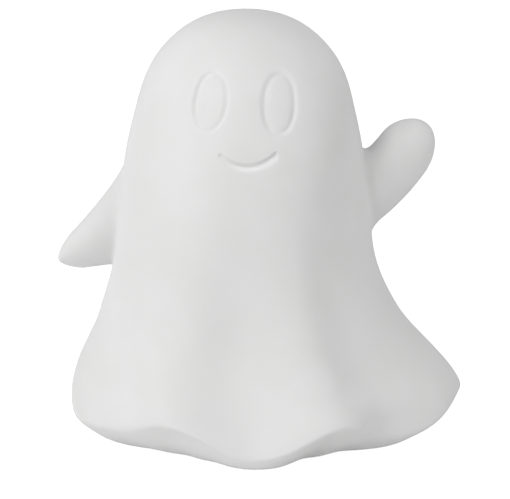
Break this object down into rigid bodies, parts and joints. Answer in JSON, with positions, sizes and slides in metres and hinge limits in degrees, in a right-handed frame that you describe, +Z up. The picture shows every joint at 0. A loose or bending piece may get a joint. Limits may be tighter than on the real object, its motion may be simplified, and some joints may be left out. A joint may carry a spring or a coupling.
{
  "type": "ceramic ghost figure",
  "caption": "Hollow slip-cast ghost figure in matt white bisque: domed head with pressed smiling face, draped robe with a wavy turned-under hem, luted arms, flat base with pour hole",
  "frame": {"origin": "centre of the pour hole, on the plane of the flat base", "axes": "+Z up through the crown, the face looks along -Y, the raised arm points to +X"},
  "size_m": [0.1318, 0.0994, 0.14],
  "materials": {
    "bisque_body": "matte",
    "bisque_arm": "matte",
    "bisque_slip": "matte"
  },
  "bodies": {
    "root": {"body_casting": "bisque_body", "raised_arm": "bisque_arm", "lowered_arm": "bisque_arm", "raised_arm_slip_joint": "bisque_slip", "lowered_arm_slip_joint": "bisque_slip"}
  },
  "joints": []
}
